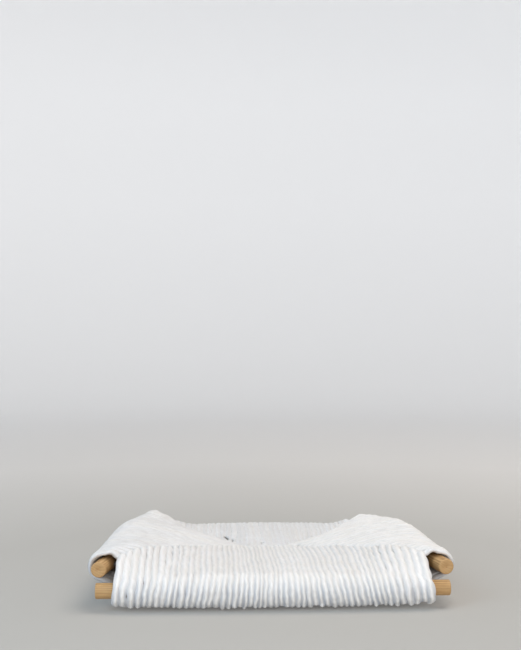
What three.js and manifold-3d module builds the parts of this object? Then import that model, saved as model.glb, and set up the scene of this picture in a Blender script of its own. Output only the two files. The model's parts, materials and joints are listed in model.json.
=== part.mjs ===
// Woven seat of a ladder-back chair: four turned rails wound with rush, in four pockets that meet on
// mitred seams, with stuffing and crossing strands inside. Millimetres, +X to the right seen from the
// front, +Y to the back, +Z up. The origin is under the middle of the seat, level with its lowest strand.
import * as THREE from 'three';
import * as BufferGeometryUtils from 'three/addons/utils/BufferGeometryUtils.js';
import Module from 'manifold-3d';

// ---- Driving dimensions ----
const SEAT_DEPTH = 316;          // front rail axis to back rail axis
const FRONT_HALF = 197.4;        // middle line to a front post's axis
const BACK_HALF = 143;           // middle line to a rear post's axis
const FRONT_CLEAR = 175;         // middle line to the face of a front post
const BACK_CLEAR = 121;          // middle line to the face of a rear post
const SIDE_CLEAR = 22;           // front or rear post's axis to its face, along the side rail
const SIDE_LIFT = 22.5;          // side rails stand this much higher, so the tenons miss each other

const LAYER = 6.2;               // one layer of strands
const WRAP_GAP = 0.8;            // between the front or back rail and the strands round it
const SIDE_WRAP_GAP = 1.6;       // the same on the side rails, which the strands cross at an angle
const GAP = 0.4;                 // between neighbouring pieces
const SLACK = 1.8;               // between the stuffing and the strands above and below it

// Radius of the front and back rails, and of the side rails. A swell below 1 is fuller than a sine, and
// behind moves the thickest place towards the back rail.
const RAIL = { end: 10, middle: 13.5, swell: 0.7 };
const SIDE_RAIL = { end: 9, middle: 17.8, swell: 2, behind: 1.2 };
const TENON = { radius: 8.8, length: 24.5, sideLength: 18.5, chamfer: 1.5 };
const RAIL_SIDES = 18;
const RAIL_STEPS = 12;           // stations along a rail between its tenons

const MEETING_LINE = 191;        // front rail axis to the line where front and back strands meet
const BRIDGE_HALF = 26.5;        // half the width of the front-to-back strands between the mitres
const FILLER_WIDTH = 58;         // width of the short filler strands in each front corner
const CROWN = 3;                 // how far the stuffing lifts the top strands
const SEAM = {
  middle: 13,                    // height above the front rail's axis where the seams end, mid seat
  frontRise: 23,                 // how much higher they start at a front post
  frontFall: 0.8,                // 1 falls evenly, more falls sooner
  shoulder: 9,                   // fullness behind a front corner
  backRise: 18,
  backFall: 3,
  cornerBeneath: 4,              // how far below the axis the seams beneath start, at a post
  sagBeneath: 9,                 // and how much lower they end
};
const CROSSING = 5;              // thickness of the crossing strands inside a pocket
const PAD_START = 2.5;           // stuffing starts this far inside the rail's surface
const PAD_END = 0.8;             // and ends this far short of the seam
const RAIL_HUG = 1.5 * Math.PI;  // angle round a front or back rail up to which the strands hug it
const SIDE_RAIL_HUG = 1.42 * Math.PI;            // and the same round a side rail

const TACK = { head: 3.2, rim: 2.7, headThick: 0.9, dome: 1.1, lift: 0.5, shank: 0.8, tip: 3, length: 9 };
const TACK_SIDES = 6;
const TACK_HOLE = { radius: 1.15, depth: 10, sides: 8 };
const TACK_ROW = { count: 9, pitch: 7.6, first: 38 };   // first tack's depth behind the front rail

const FRONT_Y = -SEAT_DEPTH / 2;
const BACK_Y = SEAT_DEPTH / 2;
const RAIL_Z = RAIL.middle + WRAP_GAP + LAYER;   // lowest strand rests on z = 0
const SIDE_Z = RAIL_Z + SIDE_LIFT;
const SIDE_SLOPE = (FRONT_HALF - BACK_HALF) / SEAT_DEPTH;
const SIDE_ANGLE = Math.atan(SIDE_SLOPE);
const WELD = 1e-4;               // corners closer than this are one corner

// ---- Materials ----
const rushPaint = { color: 0xeceae6, roughness: 0.72, metalness: 0 };
const rushRaw = { color: 0xbba57a, roughness: 0.9, metalness: 0 };
const railWood = { color: 0xc9a878, roughness: 0.65, metalness: 0 };
const tackSteel = { color: 0x8d8f92, roughness: 0.4, metalness: 1 };

const seat = new THREE.Group();

function addMesh(name, geometry, finish) {
  const mesh = new THREE.Mesh(geometry, new THREE.MeshStandardMaterial(finish));
  mesh.name = name;
  seat.add(mesh);
  return mesh;
}

// ---- The four sides, each as stations along its rail and distances inward from the rail's axis ----
const arch = (share) => Math.sin(Math.PI * THREE.MathUtils.clamp(share, 0, 1));
const swelling = (rail, share) => rail.end + (rail.middle - rail.end) * arch(share) ** rail.swell;
const railRadius = (share) => swelling(RAIL, share);
const sideRailRadius = (share) => swelling(SIDE_RAIL, share ** SIDE_RAIL.behind);
const frontMitre = (x) => Math.min(MEETING_LINE,
  SIDE_CLEAR + (FRONT_CLEAR - Math.abs(x)) * (MEETING_LINE - SIDE_CLEAR) / (FRONT_CLEAR - BRIDGE_HALF));
const backMitre = (x) => Math.max(MEETING_LINE,
  SEAT_DEPTH - SIDE_CLEAR - (BACK_CLEAR - Math.abs(x)) * (SEAT_DEPTH - SIDE_CLEAR - MEETING_LINE)
  / (BACK_CLEAR - BRIDGE_HALF));
const sideAxisX = (depth) => FRONT_HALF - SIDE_SLOPE * depth;

function sideMitreX(depth) {
  if (depth <= MEETING_LINE) {
    const share = (depth - SIDE_CLEAR) / (MEETING_LINE - SIDE_CLEAR);
    return FRONT_CLEAR + (BRIDGE_HALF - FRONT_CLEAR) * share;
  }
  const share = (SEAT_DEPTH - SIDE_CLEAR - depth) / (SEAT_DEPTH - SIDE_CLEAR - MEETING_LINE);
  return BACK_CLEAR + (BRIDGE_HALF - BACK_CLEAR) * share;
}

// Places along each rail where the pieces change shape. The first and last are at the posts' corners,
// and the pockets' contents stop at the next one in.
const FILLER_X = FRONT_CLEAR - FILLER_WIDTH;
const FILLER_DEPTH = SIDE_CLEAR + FILLER_WIDTH * (MEETING_LINE - SIDE_CLEAR) / (FRONT_CLEAR - BRIDGE_HALF);
const BACK_DEPTH = SEAT_DEPTH - SIDE_CLEAR;
const mirrored = (half) => [...half.map((x) => -x).reverse(), 0, ...half];
const frontStations = mirrored([BRIDGE_HALF, 52, 84, FILLER_X, 138, 155, 167, FRONT_CLEAR]);
const backStations = mirrored([BRIDGE_HALF, 48, 72, 95, 112, BACK_CLEAR]);
const flankStations = [SIDE_CLEAR, 34, 50, 68, FILLER_DEPTH, 120, 155, MEETING_LINE, 225, 255, 277, BACK_DEPTH];

// Top and bottom of a seam, from 0 at a post's corner to 1 in the middle of the seat.
const frontSeamTop = (t) => RAIL_Z + SEAM.middle + SEAM.frontRise * (1 - t) ** SEAM.frontFall
  + SEAM.shoulder * arch(t) * (1 - t);
const backSeamTop = (t) => RAIL_Z + SEAM.middle + SEAM.backRise * (1 - t) ** SEAM.backFall;
const seamBottom = (t) => RAIL_Z - SEAM.cornerBeneath - SEAM.sagBeneath * t;

const cornerShare = (x, clear) => THREE.MathUtils.clamp((clear - Math.abs(x)) / (clear - BRIDGE_HALF), 0, 1);
const depthShare = (depth) => (depth <= MEETING_LINE
  ? (depth - SIDE_CLEAR) / (MEETING_LINE - SIDE_CLEAR)
  : (SEAT_DEPTH - SIDE_CLEAR - depth) / (SEAT_DEPTH - SIDE_CLEAR - MEETING_LINE));

const frontSide = {
  z: RAIL_Z,
  underside: RAIL_HUG,
  stations: frontStations,
  gap: WRAP_GAP,
  rail: (x) => railRadius(0.5 + x / (2 * FRONT_CLEAR)),
  seam: frontMitre,
  top: (x) => frontSeamTop(cornerShare(x, FRONT_CLEAR)),
  bottom: (x) => seamBottom(cornerShare(x, FRONT_CLEAR)),
  stretch: 1,
  place: (x, inward, z) => new THREE.Vector3(x, FRONT_Y + inward, z),
};

const backSide = {
  z: RAIL_Z,
  underside: RAIL_HUG,
  stations: backStations,
  gap: WRAP_GAP,
  rail: (x) => railRadius(0.5 + x / (2 * BACK_CLEAR)),
  seam: (x) => SEAT_DEPTH - backMitre(x),
  top: (x) => backSeamTop(cornerShare(x, BACK_CLEAR)),
  bottom: (x) => seamBottom(cornerShare(x, BACK_CLEAR)),
  stretch: 1,
  place: (x, inward, z) => new THREE.Vector3(x, BACK_Y - inward, z),
};

const flank = (hand) => ({
  z: SIDE_Z,
  underside: SIDE_RAIL_HUG,
  stations: flankStations,
  gap: SIDE_WRAP_GAP,
  rail: (depth) => sideRailRadius((depth - SIDE_CLEAR) / (SEAT_DEPTH - 2 * SIDE_CLEAR)),
  seam: (depth) => sideAxisX(depth) - sideMitreX(depth),
  top: (depth) => (depth <= MEETING_LINE ? frontSeamTop : backSeamTop)(depthShare(depth)),
  bottom: (depth) => seamBottom(depthShare(depth)),
  stretch: 1 / Math.cos(SIDE_ANGLE),
  place: (depth, inward, z) => new THREE.Vector3(hand * (sideAxisX(depth) - inward), FRONT_Y + depth, z),
});
const leftSide = flank(-1);
const rightSide = flank(1);

// ---- Closed bodies lofted from station to station ----
function closedBody(points, triangles) {
  let volume = 0;
  for (const [a, b, c] of triangles) {
    volume += points[a].dot(new THREE.Vector3().crossVectors(points[b], points[c]));
  }
  const faces = volume > 0 ? triangles : triangles.map(([a, b, c]) => [a, c, b]);
  const geometry = new THREE.BufferGeometry().setFromPoints(points);
  geometry.setIndex(faces.flat());
  return geometry;
}

// outlineAt(station) gives a closed outline of [inward, z] pairs, with as many pairs at every station.
// Each patch between two stations is split along its shorter diagonal.
function loft(side, stations, outlineAt) {
  const points = [];
  const triangles = [];
  const outlines = stations.map(outlineAt);
  const count = outlines[0].length;
  outlines.forEach((outline, i) => {
    for (const [inward, z] of outline) points.push(side.place(stations[i], inward, z));
  });
  for (let i = 0; i + 1 < stations.length; i++) {
    for (let j = 0; j < count; j++) {
      const a = i * count + j;
      const b = i * count + (j + 1) % count;
      const next = a + count;
      const nextB = b + count;
      if (points[a].distanceTo(points[nextB]) < points[b].distanceTo(points[next])) {
        triangles.push([a, b, nextB], [a, nextB, next]);
      } else {
        triangles.push([a, b, next], [b, nextB, next]);
      }
    }
  }
  const lastStart = (stations.length - 1) * count;
  for (const [outline, start] of [[outlines[0], 0], [outlines.at(-1), lastStart]]) {
    const flat = outline.map(([inward, z]) => new THREE.Vector2(inward, z));
    for (const [a, b, c] of THREE.ShapeUtils.triangulateShape(flat, [])) {
      triangles.push(start === 0 ? [a, b, c].reverse() : [start + a, start + b, start + c]);
    }
  }
  if (THREE.ShapeUtils.area(outlines[0].map(([inward, z]) => new THREE.Vector2(inward, z))) < 0) {
    throw new Error('an outline must run counter-clockwise');
  }
  return closedBody(points, triangles);
}

const spread = (from, to, steps) => Array.from({ length: steps + 1 }, (_, i) => from + (to - from) * i / steps);

// ---- Woven layers: from the seam over the rail, round its outside and back to the seam beneath ----
const FLAT_STEPS = 3;
const ARC_STEPS = 5;

// Angle, about the rail's axis, at which a line from a seam point touches a circle round the rail.
function touchAngle(inward, rise, radius, turn) {
  return Math.atan2(rise, inward) + turn * Math.acos(Math.min(1, radius / Math.hypot(inward, rise)));
}

function topLine(side, station, radius, drop) {
  const seam = side.seam(station) - PAD_END / 2;
  const seamZ = side.top(station) - drop;
  const angle = touchAngle(seam, seamZ - side.z, radius, 1);
  const touch = [radius * Math.cos(angle), side.z + radius * Math.sin(angle)];
  return { seam, seamZ, angle, touch };
}

function bottomLine(side, station, radius, drop) {
  const seam = side.seam(station) - PAD_END / 2;
  const seamZ = side.bottom(station) + drop;
  const angle = touchAngle(seam, seamZ - side.z, radius, -1) + 2 * Math.PI;
  const touch = [radius * Math.cos(angle), side.z + radius * Math.sin(angle)];
  return { seam, seamZ, angle, touch };
}

const along = (line, share, crown) => [
  THREE.MathUtils.lerp(line.seam, line.touch[0], share),
  THREE.MathUtils.lerp(line.seamZ, line.touch[1], share) + crown * Math.sin(Math.PI * share),
];

function wrapPath(side, station, radius, drop) {
  const top = topLine(side, station, radius, drop);
  const bottom = bottomLine(side, station, radius, drop);
  const path = spread(0, 1, FLAT_STEPS).map((share) => along(top, share, CROWN));
  const arcs = [...spread(top.angle, Math.PI, ARC_STEPS).slice(1),
    ...spread(Math.PI, side.underside, ARC_STEPS).slice(1)];
  for (const angle of arcs) {
    path.push([radius * side.stretch * Math.cos(angle), side.z + radius * Math.sin(angle)]);
  }
  return path.concat(spread(1, 0, FLAT_STEPS).map((share) => along(bottom, share, 0)));
}

function weaveOutline(side, station) {
  const inner = side.rail(station) + side.gap;
  const outside = wrapPath(side, station, inner + LAYER, 0);
  const inside = wrapPath(side, station, inner, LAYER).reverse();
  return outside.concat(inside);
}

function addWeave(name, side, from, to) {
  const inner = side.stations.filter((station) => station > from && station < to);
  const stations = [from + GAP / 2, ...inner, to - GAP / 2];
  addMesh(name, loft(side, stations, (station) => weaveOutline(side, station)), rushPaint);
}

addWeave('front_left_filler_weave', frontSide, -FRONT_CLEAR, -FILLER_X);
addWeave('front_left_weave', frontSide, -FILLER_X, -BRIDGE_HALF);
addWeave('front_bridge_weave', frontSide, -BRIDGE_HALF, BRIDGE_HALF);
addWeave('front_right_weave', frontSide, BRIDGE_HALF, FILLER_X);
addWeave('front_right_filler_weave', frontSide, FILLER_X, FRONT_CLEAR);
addWeave('back_left_weave', backSide, -BACK_CLEAR, -BRIDGE_HALF);
addWeave('back_bridge_weave', backSide, -BRIDGE_HALF, BRIDGE_HALF);
addWeave('back_right_weave', backSide, BRIDGE_HALF, BACK_CLEAR);
for (const [word, side] of [['left', leftSide], ['right', rightSide]]) {
  addWeave(`${word}_filler_weave`, side, SIDE_CLEAR, FILLER_DEPTH);
  addWeave(`${word}_front_weave`, side, FILLER_DEPTH, MEETING_LINE);
  addWeave(`${word}_back_weave`, side, MEETING_LINE, BACK_DEPTH);
}

// ---- Inside each pocket: crossing strands between an upper and a lower pad of stuffing ----
function pocketHeights(side, station, inward) {
  const radius = side.rail(station) + side.gap;
  const top = topLine(side, station, radius, LAYER);
  const bottom = bottomLine(side, station, radius, LAYER);
  const topShare = (top.seam - inward) / (top.seam - top.touch[0]);
  const bottomShare = (bottom.seam - inward) / (bottom.seam - bottom.touch[0]);
  const ceiling = along(top, topShare, CROWN)[1] - SLACK;
  const floor = along(bottom, bottomShare, 0)[1] + SLACK;
  return { ceiling, floor, middle: (ceiling + floor) / 2 };
}

const LAYERS = {
  upper_stuffing: (h) => [h.middle + CROSSING / 2 + GAP, h.ceiling],
  crossing: (h) => [h.middle - CROSSING / 2, h.middle + CROSSING / 2],
  lower_stuffing: (h) => [h.floor, h.middle - CROSSING / 2 - GAP],
};

function layerOutline(side, station, heightsOf) {
  const start = side.rail(station) + PAD_START;
  const reach = spread(start, side.seam(station) - 2 * PAD_END, FLAT_STEPS);
  const lower = [];
  const upper = [];
  for (const inward of reach) {
    const [low, high] = heightsOf(pocketHeights(side, station, inward));
    lower.push([inward, low]);
    upper.push([inward, high]);
  }
  return lower.concat(upper.reverse());
}

const pockets = [['front', frontSide], ['back', backSide], ['left', leftSide], ['right', rightSide]];
for (const [word, side] of pockets) {
  const stations = side.stations.slice(1, -1);
  for (const [layer, heightsOf] of Object.entries(LAYERS)) {
    addMesh(`${word}_${layer}`, loft(side, stations, (s) => layerOutline(side, s, heightsOf)), rushRaw);
  }
}

// ---- Turned rails with round tenons ----
function railGeometry(clear, tenonEnd, radiusAt) {
  const profile = [
    new THREE.Vector2(0, -tenonEnd),
    new THREE.Vector2(TENON.radius - TENON.chamfer, -tenonEnd),
    new THREE.Vector2(TENON.radius, -tenonEnd + TENON.chamfer),
    new THREE.Vector2(TENON.radius, -clear),
  ];
  for (const share of spread(0, 1, RAIL_STEPS)) {
    profile.push(new THREE.Vector2(radiusAt(share), THREE.MathUtils.lerp(-clear, clear, share)));
  }
  profile.push(
    new THREE.Vector2(TENON.radius, clear),
    new THREE.Vector2(TENON.radius, tenonEnd - TENON.chamfer),
    new THREE.Vector2(TENON.radius - TENON.chamfer, tenonEnd),
    new THREE.Vector2(0, tenonEnd),
  );
  return new THREE.LatheGeometry(profile, RAIL_SIDES);
}

for (const [name, clear, y] of [['front_rail', FRONT_CLEAR, FRONT_Y], ['back_rail', BACK_CLEAR, BACK_Y]]) {
  const rail = addMesh(name, railGeometry(clear, clear + TENON.length, railRadius), railWood);
  rail.rotation.z = -Math.PI / 2;
  rail.position.set(0, y, RAIL_Z);
}

// ---- Side rails, drilled for the tacks that hold the filler strands ----
const wasm = await Module();
wasm.setup();

function toSolid(geometry) {
  const bare = geometry.clone();
  bare.deleteAttribute('normal');
  bare.deleteAttribute('uv');
  const merged = BufferGeometryUtils.mergeVertices(bare, WELD);
  return new wasm.Manifold(new wasm.Mesh({
    numProp: 3,
    vertProperties: new Float32Array(merged.attributes.position.array),
    triVerts: new Uint32Array(merged.index.array),
  }));
}

function toGeometry(solid) {
  const mesh = solid.getMesh();
  const geometry = new THREE.BufferGeometry();
  geometry.setAttribute('position', new THREE.BufferAttribute(new Float32Array(mesh.vertProperties), 3));
  geometry.setIndex(new THREE.BufferAttribute(new Uint32Array(mesh.triVerts), 1));
  return geometry;
}

const sideHalf = (SEAT_DEPTH / 2 - SIDE_CLEAR) / Math.cos(SIDE_ANGLE);
const tackPlaces = Array.from({ length: TACK_ROW.count }, (_, i) => TACK_ROW.first + i * TACK_ROW.pitch);

// Distance from the rail's middle, along its axis, of a place given by its depth behind the front rail.
const alongRail = (depth) => (depth - SEAT_DEPTH / 2) / Math.cos(SIDE_ANGLE);

for (const [hand, word, side] of [[-1, 'left', leftSide], [1, 'right', rightSide]]) {
  const pivot = new THREE.Group();
  pivot.position.set(hand * (FRONT_HALF + BACK_HALF) / 2, 0, SIDE_Z);
  pivot.rotation.z = hand * SIDE_ANGLE;
  seat.add(pivot);

  let rail = toSolid(railGeometry(sideHalf, sideHalf + TENON.sideLength, sideRailRadius));
  for (const [i, depth] of tackPlaces.entries()) {
    const surface = side.rail(depth);
    const hole = new THREE.CylinderGeometry(
      TACK_HOLE.radius, TACK_HOLE.radius, 2 * TACK_HOLE.depth, TACK_HOLE.sides);
    hole.rotateZ(Math.PI / 2);
    hole.translate(-hand * surface, alongRail(depth), 0);
    rail = rail.subtract(toSolid(hole));

    const tackProfile = [
      new THREE.Vector2(0, -TACK.length),
      new THREE.Vector2(TACK.shank, -TACK.length + TACK.tip),
      new THREE.Vector2(TACK.shank, TACK.lift),
      new THREE.Vector2(TACK.head, TACK.lift),
      new THREE.Vector2(TACK.rim, TACK.lift + TACK.headThick),
      new THREE.Vector2(0, TACK.lift + TACK.dome),
    ];
    const tackShape = new THREE.LatheGeometry(tackProfile, TACK_SIDES);
    const tack = addMesh(`${word}_tack_${i + 1}`, tackShape, tackSteel);
    tack.rotation.z = hand * Math.PI / 2;
    tack.position.set(-hand * surface, alongRail(depth), 0);
    pivot.add(tack);
  }
  const railMesh = addMesh(`${word}_rail`, toGeometry(rail), railWood);
  pivot.add(railMesh);
}

export default seat;
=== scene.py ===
"""Woven rush chair seat, strand by strand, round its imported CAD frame.

Every strand is a closed, twisted tube that starts at a mitred seam on top, runs over its rail, round
the outside and back to the seam beneath. Lengths are in millimetres until a mesh is made.
"""

import json
import math

import bpy
import numpy as np
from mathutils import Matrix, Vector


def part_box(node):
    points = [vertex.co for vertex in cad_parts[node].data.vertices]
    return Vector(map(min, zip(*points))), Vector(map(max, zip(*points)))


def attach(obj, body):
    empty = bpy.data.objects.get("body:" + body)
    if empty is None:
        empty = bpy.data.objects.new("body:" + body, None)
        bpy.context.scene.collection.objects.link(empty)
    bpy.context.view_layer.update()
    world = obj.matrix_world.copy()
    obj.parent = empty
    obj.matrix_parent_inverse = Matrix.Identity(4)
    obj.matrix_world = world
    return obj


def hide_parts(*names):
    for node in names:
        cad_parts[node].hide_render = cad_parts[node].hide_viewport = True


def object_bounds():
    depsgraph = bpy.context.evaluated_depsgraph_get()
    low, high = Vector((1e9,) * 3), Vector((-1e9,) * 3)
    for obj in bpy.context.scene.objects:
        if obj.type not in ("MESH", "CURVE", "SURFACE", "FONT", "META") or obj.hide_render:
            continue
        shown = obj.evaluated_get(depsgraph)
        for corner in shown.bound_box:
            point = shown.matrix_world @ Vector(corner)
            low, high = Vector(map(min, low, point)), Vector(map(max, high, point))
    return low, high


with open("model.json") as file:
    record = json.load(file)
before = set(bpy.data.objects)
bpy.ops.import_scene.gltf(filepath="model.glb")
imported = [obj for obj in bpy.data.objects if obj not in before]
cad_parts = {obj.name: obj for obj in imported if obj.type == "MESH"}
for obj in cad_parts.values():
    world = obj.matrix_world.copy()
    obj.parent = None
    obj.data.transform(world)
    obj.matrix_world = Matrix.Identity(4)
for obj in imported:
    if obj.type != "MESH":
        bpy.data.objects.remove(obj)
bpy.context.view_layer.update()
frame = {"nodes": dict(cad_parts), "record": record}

# ---------------------------------------------------------------- the frame, in millimetres
MM = 1000.0
CAD_GAP = 0.2                       # each CAD panel stops this far short of its neighbour


def low(node):
    return np.array(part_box(node)[0]) * MM


def high(node):
    return np.array(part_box(node)[1]) * MM


mounts = {m["name"]: np.array(m["pos_m"]) * MM for m in frame["record"]["mounts"]}

FRONT_Y, RAIL_Z = mounts["front_rail_right_end"][1:]
BACK_Y = mounts["back_rail_right_end"][1]
SIDE_Z = mounts["right_rail_front_end"][2]
FRONT_CLEAR = high("front_right_filler_weave")[0] + CAD_GAP
BACK_CLEAR = high("back_right_weave")[0] + CAD_GAP
BRIDGE_HALF = high("front_bridge_weave")[0] + CAD_GAP
CORNER_FRONT_Y = low("right_filler_weave")[1] - CAD_GAP
CORNER_BACK_Y = high("right_back_weave")[1] + CAD_GAP
MEETING_Y = (high("front_bridge_weave")[1] + low("back_bridge_weave")[1]) / 2

# ---------------------------------------------------------------- driving sizes of the weave
RAIL = (10.0, 13.5)                 # radius of the front and back rails, at the ends and the middle
SIDE_RAIL = (9.0, 17.8)             # radius of the side rails, at the ends and behind their middle
WRAP_GAP = 0.8                      # between the front or back rail and its strands
SIDE_WRAP_GAP = 1.6                 # the same on a side rail
LAYER = 6.2                         # thickness of one layer of strands
CROWN = 3.0                         # how far the stuffing lifts the top strands
SEAM_MIDDLE = 13.0                  # height of the seams' inner ends above the front rail's axis
FRONT_RISE, FRONT_FALL = 23.0, 0.8  # a front seam's rise towards its post, and how evenly it rises
FRONT_SHOULDER = 9.0                # its fullness along the way
CORNER_SHOULDER = (2.8, 0.36)       # more fullness beside the post, and the share of the seam it takes
BACK_RISE, BACK_FALL = 18.0, 3
BACK_CORNER_DIP = 2.5               # how much lower the back roll's strands are beside a post
RIGHT_CORNER_DIP = 2.0              # the same for the right roll, beside the back post
CORNER_DIP_SHARE = 0.16             # share of the seam in which they are lower
UNDER_CORNER, UNDER_SAG = 4.0, 9.0  # the seams beneath: depth below the axis at a post, and its growth
SLACK = 1.8                         # room between the stuffing and the strands round it
CROSSING = 5.0                      # thickness of the strands that cross inside a pocket
LAYER_GAP = 0.4                     # between those strands and the stuffing above and below
PAD_START = 2.5                     # the stuffing starts this far from the rail
PAD_END = 1.6                       # and ends this far from the seam
STRAND_HALF = 3.2                   # half the thickness of a strand
STRAND_SIDES = 18
RUN_STEP, BEND_STEP = 2.5, 1.35     # length between two rings on a straight run, and round a bend
SPREAD = 1.38                       # how much wider than its share of the rail a strand's foot is
ROUNDS_FRONT = (9, 14, 8, 14, 9)    # filler, corner, bridge, corner and filler strands
ROUNDS_BACK = (14, 8, 14)
ROUNDS_SIDE = (9, 14, 14)

# Places on the front and back rolls.
FRONT_SAG_FROM, FRONT_SAG_TO = (20, 60), (110, 150)     # x where the front roll starts and stops to sag
LEAN_GROWS, LEAN_FADES = (0, 0.4), (0.63, 1)     # shares of the half width, from the middle to a post
LEAN_LOST = 0.75                    # how much of a strand's lean is lost beside a post
LEFT_LEAN = 0.75                    # share of the lean that the strands on the left have
FLARE_FROM = 0.72                   # share of the half width where strands start to bulge outward

# How the side rolls differ from a plain roll of even layers.
SIDE_LEAN = 2.5
LEFT_WIDER = {"middle": 0.8, "front": 1.2, "back": 2.8}
RIGHT_NARROWER = {"behind": 1.8, "back": 1.3, "end": 1.5}
BESIDE_POST = (0.86, 0.1)           # share of the rail's length beside the back post, and how far it spreads
LUMP = (5.6, 1.6)                   # stuffing packed up there on the left: height, and how steep it is

# Angles about a rail, counted from its inward side over the top.
LOW_ON_ROLL = (math.radians(112), math.radians(200))     # from upright to low on the outside
BENEATH = (math.radians(222), math.radians(252))
THINLY_PAINTED = (math.radians(245), math.radians(300))
FLARE_GROWS = (math.radians(40), math.radians(190))
FLARE_FADES = (math.radians(245), math.radians(290))
BEAD_DEGREES = (228, 262)           # where a bead of paint hangs


def smooth(low_edge, high_edge, value):
    """0 below low_edge, 1 above high_edge, and a smooth step between."""
    t = np.clip((value - low_edge) / (high_edge - low_edge), 0, 1)
    return t * t * (3 - 2 * t)


def arch(share):
    return np.sin(math.pi * np.clip(share, 0, 1))


# ---------------------------------------------------------------- the four sides of the seat
def mitre_share_x(x, clear):
    """0 at the post's corner, 1 where the mitre meets the bridge strands."""
    return np.clip((clear - abs(x)) / (clear - BRIDGE_HALF), 0, 1)


def front_seam_top(t):
    shoulder = FRONT_SHOULDER * arch(t) * (1 - t) + CORNER_SHOULDER[0] * arch(t / CORNER_SHOULDER[1])
    return RAIL_Z + SEAM_MIDDLE + FRONT_RISE * (1 - t) ** FRONT_FALL + shoulder


def back_seam_top(t):
    return RAIL_Z + SEAM_MIDDLE + BACK_RISE * (1 - t) ** BACK_FALL


def corner_dip(t, depth):
    return depth * (1 - smooth(0, CORNER_DIP_SHARE, t))


def seam_bottom(t):
    return RAIL_Z - UNDER_CORNER - UNDER_SAG * t


class EndRoll:
    """The roll round the front or the back rail. A station is x, and inward is towards the middle."""

    axis = np.array([1.0, 0.0, 0.0])
    z = RAIL_Z
    wrap_gap = WRAP_GAP

    def __init__(self, rail_y, inward, clear, corner_y, top, lean, flare, sag):
        self.rail_y, self.inward, self.clear, self.corner_y = rail_y, inward, clear, corner_y
        self.seam_top_at, self.lean_most, self.flare_most, self.sag = top, lean, flare, sag
        self.ends = (-clear, clear)

    def rail_radius(self, x):
        return RAIL[0] + (RAIL[1] - RAIL[0]) * arch(0.5 + x / (2 * self.clear)) ** 0.7

    def roll_radius(self, x):
        return self.rail_radius(x) + self.wrap_gap + LAYER

    def seam(self, x):
        depth = self.corner_y + (MEETING_Y - self.corner_y) * mitre_share_x(x, self.clear)
        return self.inward * (depth - self.rail_y)

    def top(self, x):
        sag = self.sag * smooth(*FRONT_SAG_FROM, x) * (1 - smooth(*FRONT_SAG_TO, x))
        share = mitre_share_x(x, self.clear)
        dip = corner_dip(share, BACK_CORNER_DIP) if self.inward < 0 else 0.0
        return self.seam_top_at(share) - sag - dip

    def bottom(self, x):
        return seam_bottom(mitre_share_x(x, self.clear))

    def lean(self, x):
        """How far outward a strand moves from the top of the roll to its underside."""
        reach = abs(x) / self.clear
        most = self.lean_most * (LEFT_LEAN if x < 0 else 1.0)
        return np.sign(x) * most * smooth(*LEAN_GROWS, reach) * (1 - LEAN_LOST * smooth(*LEAN_FADES, reach))

    def crown(self, x, run):
        return CROWN * arch(run)

    def lump(self, x):
        return 0.0

    def flare(self, x, angle):
        """Strands beside a post bulge outward in front of it."""
        push = np.sign(x) * self.flare_most * smooth(FLARE_FROM, 1, abs(x) / self.clear)
        return push * smooth(*FLARE_GROWS, angle) * (1 - smooth(*FLARE_FADES, angle))

    def place(self, station, inward, z):
        return np.stack([station, self.rail_y + self.inward * inward, z], axis=-1)


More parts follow.
